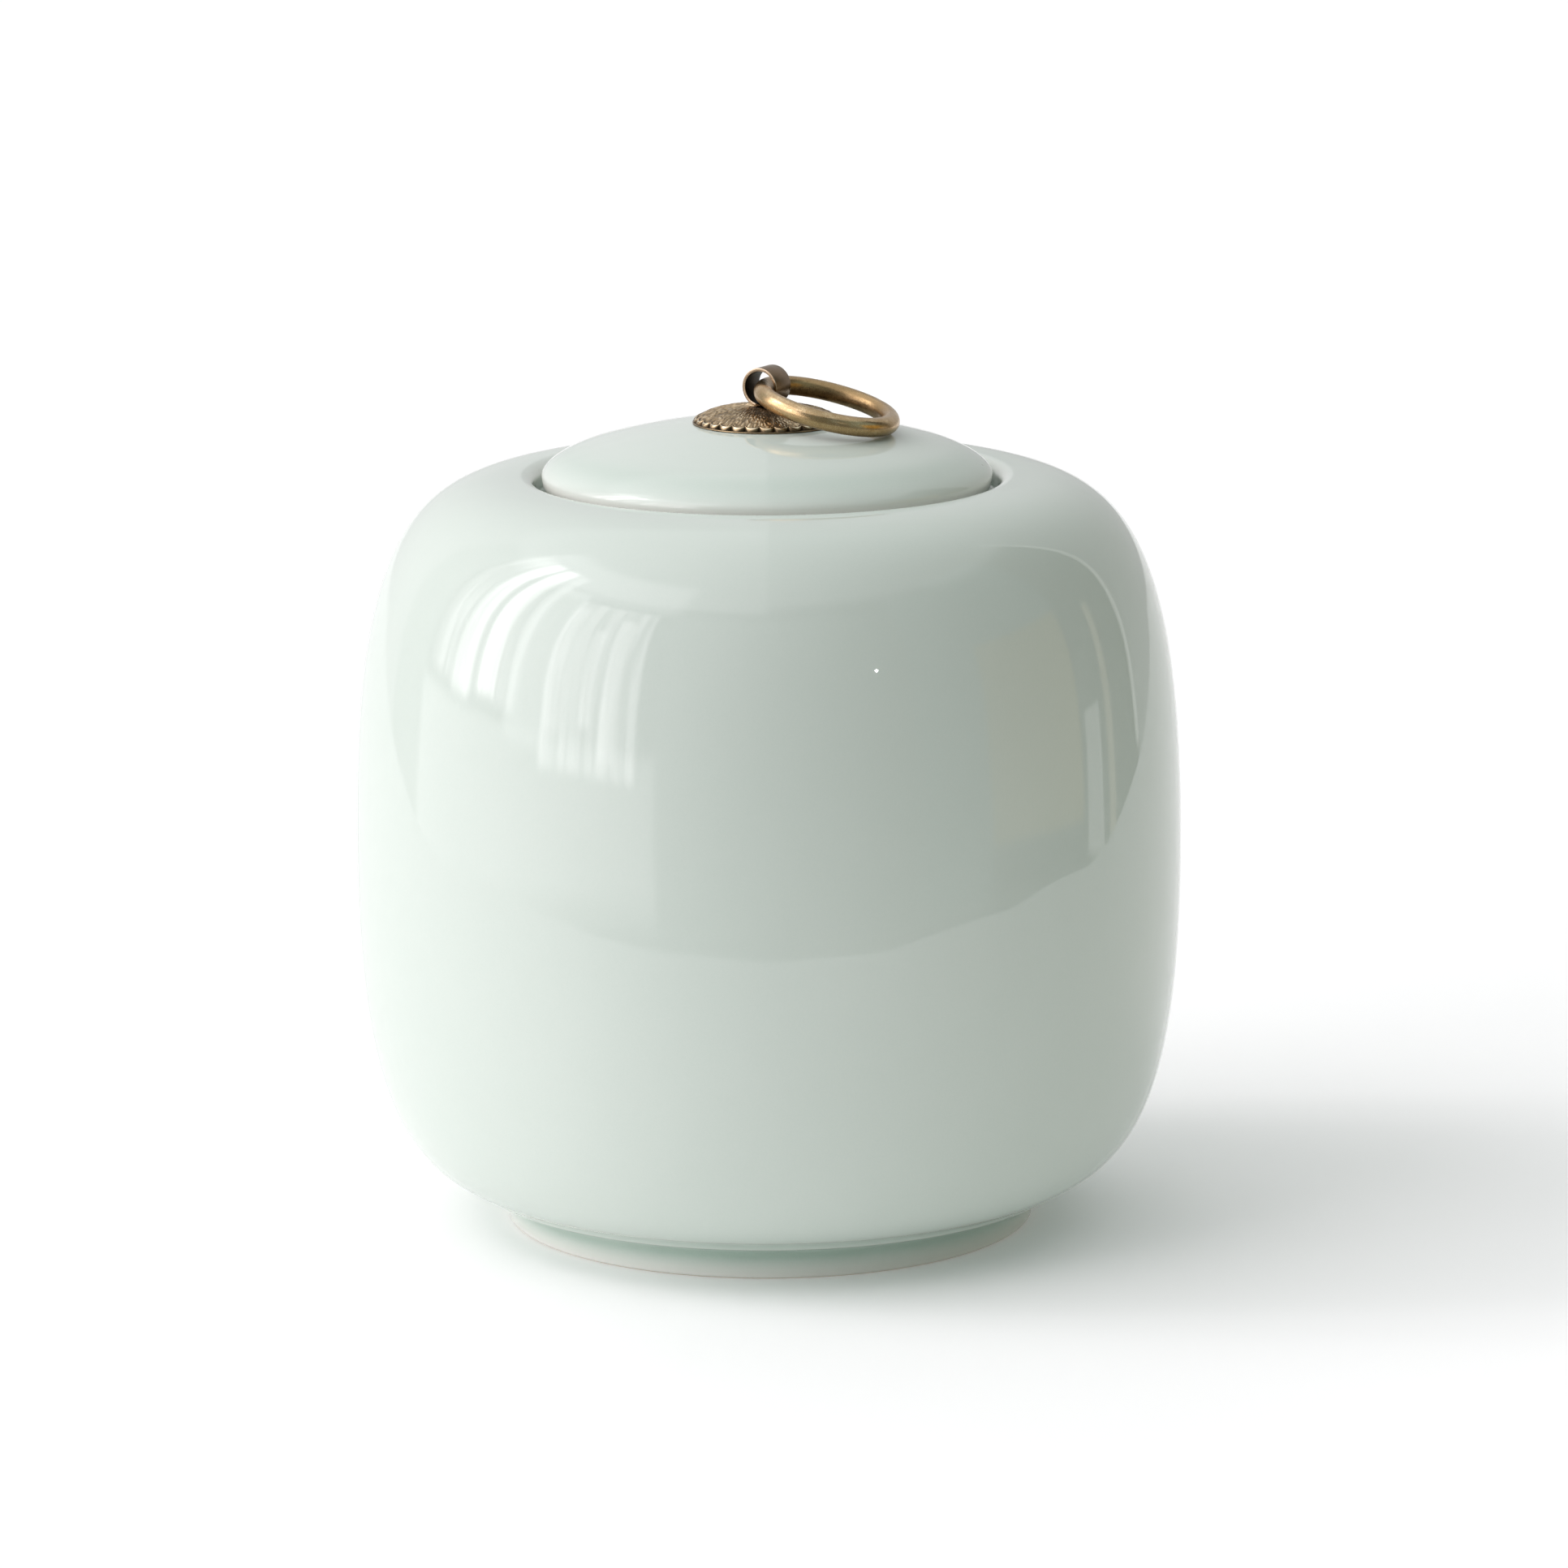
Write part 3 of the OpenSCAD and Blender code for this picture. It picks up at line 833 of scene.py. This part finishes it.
def make_floor():
    """A white table top: its front and sides end close to the jar, its back runs on."""
    half_width, front, back, back_width = 0.47, 0.36, 3.6, 2.4
    steps = 96
    material, nodes, shader = new_material("Pale table top")
    grain = nodes.noise(nodes.object_coords(), 900.0, 3.0)
    tone = nodes.mix(grain, (0.94, 0.94, 0.94, 1), (0.97, 0.97, 0.97, 1))
    nodes.set(shader.inputs["Base Color"], tone)
    shader.inputs["Roughness"].default_value = 0.9
    shader.inputs["Emission Color"].default_value = (1, 1, 1, 1)
    shader.inputs["Emission Strength"].default_value = 0.08
    points = []
    for k in range(steps + 1):
        turn = math.pi * (k / steps - 1)
        points.append((half_width * math.cos(turn), front * math.sin(turn)))
    points += [(back_width, back), (-back_width, back)]
    spin = Matrix.Rotation(CAMERA_AZIMUTH, 2)
    corners = [spin @ Vector(point) for point in points]
    mesh = bpy.data.meshes.new("table_top")
    mesh.from_pydata([(c.x, c.y, 0) for c in corners], [], [tuple(range(len(corners)))])
    mesh.materials.append(material)
    floor = bpy.data.objects.new("table_top", mesh)
    bpy.context.scene.collection.objects.link(floor)


def make_lamp(name, azimuth, elevation, distance, size, power):
    """A small round lamp that faces the jar, placed by degrees round it and up."""
    data = bpy.data.lights.new(name, "AREA")
    data.shape = "DISK"
    data.size = size
    data.energy = power
    lamp = bpy.data.objects.new(name, data)
    turn = CAMERA_AZIMUTH + math.radians(azimuth)
    lift = math.radians(elevation)
    place = Vector((math.sin(turn) * math.cos(lift), -math.cos(turn) * math.cos(lift),
                    math.sin(lift)))
    lamp.location = Vector((0, 0, LAMP_AIM_Z)) + place * distance
    lamp.rotation_euler = place.to_track_quat("Z", "Y").to_euler()
    bpy.context.scene.collection.objects.link(lamp)


# What stands round the jar. Each patch has its azimuth from and to, its elevation from and to
# and its edge softness, all in degrees, then its brightness, its colour and how strongly
# curtain folds streak it. Azimuth 0 is behind the camera and 90 is to its right. Patches that
# overlap add up.
ROOM = {
    "room floor": (-400, 400, -100, -12, 2, 0.22, (1.0, 1.0, 0.97), 0.0),
    "far left wall": (-131, -114, -12, 44, 3, 0.52, (0.92, 1.0, 0.95), 0.0),
    "sill": (-114, -31, -12, 1, 3, 1.4, (1.0, 1.0, 1.0), 0.0),
    "pier": (-79, -66, 0, 42, 3, 1.8, (1.0, 1.0, 1.0), 0.0),
    "lintel": (-114, -31, 40, 58, 6, 1.3, (1.0, 0.97, 1.0), 0.0),
    "front wall": (-31, 42, -12, 40, 3, 0.26, (0.88, 1.0, 0.94), 0.0),
    "wall before the door": (42, 64, -12, 46, 3, 0.42, (0.78, 1.0, 1.0), 0.0),
    "wall over the door": (64, 98, 19, 52, 2, 0.40, (0.78, 1.0, 1.0), 0.0),
    "wall past the door": (98, 126, -12, 52, 2, 0.10, (1.0, 1.0, 0.80), 0.0),
    "door": (64, 97, -9, 19, 1, 0.60, (1.0, 0.70, 0.22), 0.0),
    "cupboard": (99, 106, -11, -1, 1, 1.0, (1.0, 1.0, 1.0), 0.0),
    "lit edge": (109, 112, -11, 15, 1.5, 0.7, (1.0, 0.82, 0.58), 0.0),
    "ceiling left": (-400, 0, 44, 91, 4, 1.1, (1.0, 1.0, 1.0), 0.0),
    "ceiling right": (0, 400, 48, 91, 6, 0.73, (0.96, 1.0, 1.0), 0.0),
    "backdrop left": (-400, -131, -12, 44, 3, 0.76, (1.0, 1.0, 1.0), 0.0),
    "backdrop right": (126, 400, -12, 48, 3, 0.58, (1.0, 1.0, 1.0), 0.0),
    "left window": (-112, -76, 3, 50, 3, 2.4, (1.0, 0.96, 0.98), 0.6),
    "left curtain gap 1": (-101, -94, 2, 50, 2.5, 3.8, (1.0, 0.96, 0.98), 0.3),
    "left curtain gap 2": (-91, -84, 4, 50, 2.5, 5.4, (1.0, 0.96, 0.98), 0.3),
    "front window": (-67, -37, -2, 39, 2, 3.0, (1.0, 0.96, 0.98), 0.6),
    "front curtain gap 1": (-66, -61, 2, 36, 2, 1.6, (1.0, 0.96, 0.98), 0.0),
    "front curtain gap 2": (-55, -51.5, 4, 28, 2, 2.0, (1.0, 0.96, 0.98), 0.0),
    "front curtain gap 3": (-48.5, -43, 0, 34, 2.5, 2.2, (1.0, 0.96, 0.98), 0.0),
    "bright jamb": (124.5, 126.5, -7, 52, 1, 0.9, (1.0, 1.0, 0.97), 0.0),
}


def panel_effect():
    """1 inside a patch of the room and 0 outside it, streaked by curtain folds."""
    nodes, given, out = effect(
        "Room panel",
        [("Azimuth", "value", 0), ("Elevation", "value", 0), ("From", "value", 0),
         ("To", "value", 0), ("Low", "value", 0), ("High", "value", 0),
         ("Softness", "value", 1), ("Folds", "value", 0)],
        [("Mask", "value")])
    sides = []
    for value, low, high in (("Azimuth", "From", "To"), ("Elevation", "Low", "High")):
        for edge, sign in ((low, 1), (high, -1)):
            gap = nodes.math("SUBTRACT", given[value], given[edge])
            gap = nodes.math("DIVIDE", nodes.math("MULTIPLY", gap, sign), given["Softness"])
            sides.append(nodes.ramp(gap, -0.5, 0.5))
    mask = nodes.math("MULTIPLY", nodes.math("MULTIPLY", sides[0], sides[1]),
                      nodes.math("MULTIPLY", sides[2], sides[3]))
    place = nodes.add("ShaderNodeCombineXYZ", {"X": given["Azimuth"],
                      "Y": nodes.math("MULTIPLY", given["Elevation"], 0.06)}).outputs[0]
    folds = nodes.ramp(nodes.noise(place, 0.33, 2.0), 0.4, 0.62)
    folds = nodes.math("SUBTRACT", 1.0, nodes.math("MULTIPLY", folds, given["Folds"]))
    nodes.set(out["Mask"], nodes.math("MULTIPLY", mask, folds))
    return nodes.tree


def make_world(room):
    """A pale studio: white to the camera, and a soft room with two windows round the jar."""
    world = bpy.data.worlds.new("Studio")
    bpy.context.scene.world = world
    world.use_nodes = True
    nodes = Nodes(world.node_tree)
    panel = panel_effect()
    ahead = nodes.add("ShaderNodeVectorRotate", {
        "Vector": nodes.add("ShaderNodeTexCoord").outputs["Generated"],
        "Angle": -CAMERA_AZIMUTH}, rotation_type="Z_AXIS").outputs[0]
    parts = nodes.add("ShaderNodeSeparateXYZ", {0: ahead}).outputs
    azimuth = nodes.math("ARCTAN2", parts["X"], nodes.math("MULTIPLY", parts["Y"], -1.0))
    azimuth = nodes.math("DEGREES", azimuth)
    elevation = nodes.math("DEGREES", nodes.math("ARCSINE", parts["Z"]))
    total = (0, 0, 0, 1)
    for start, end, low, high, softness, brightness, colour, folds in room.values():
        mask = nodes.group(panel, {
            "Azimuth": azimuth, "Elevation": elevation, "From": start, "To": end, "Low": low,
            "High": high, "Softness": softness, "Folds": folds}).outputs["Mask"]
        glow = nodes.math("MULTIPLY", mask, brightness)
        total = nodes.mix(glow, total, (*colour, 1), "ADD")
        total.node.clamp_factor = False
    seen = nodes.add("ShaderNodeLightPath").outputs["Is Camera Ray"]
    background = world.node_tree.nodes["Background"]
    nodes.set(background.inputs["Color"], nodes.mix(seen, total, (1.0, 1.0, 1.0, 1)))


def make_camera():
    """The camera, in front of the jar and a little above it, at the jar's three-quarter side."""
    data = bpy.data.cameras.new("camera")
    data.sensor_width = 36.0
    data.lens = CAMERA_LENS
    data.clip_end = 50.0
    camera = bpy.data.objects.new("camera", data)
    camera.location = (CAMERA_DISTANCE * math.sin(CAMERA_AZIMUTH),
                       -CAMERA_DISTANCE * math.cos(CAMERA_AZIMUTH), CAMERA_HEIGHT)
    level = Matrix.Rotation(CAMERA_AZIMUTH - CAMERA_YAW, 4, "Z")
    pitch = Matrix.Rotation(math.pi / 2 - CAMERA_PITCH, 4, "X")
    roll = Matrix.Rotation(CAMERA_ROLL, 4, "Z")
    camera.rotation_euler = (level @ pitch @ roll).to_euler()
    bpy.context.scene.collection.objects.link(camera)
    bpy.context.scene.camera = camera


make_floor()
make_lamp("lamp", 31.5, 18.0, 2.5, 0.035, 0.4)
make_world(ROOM)
make_camera()
bpy.context.scene.view_settings.view_transform = "Standard"
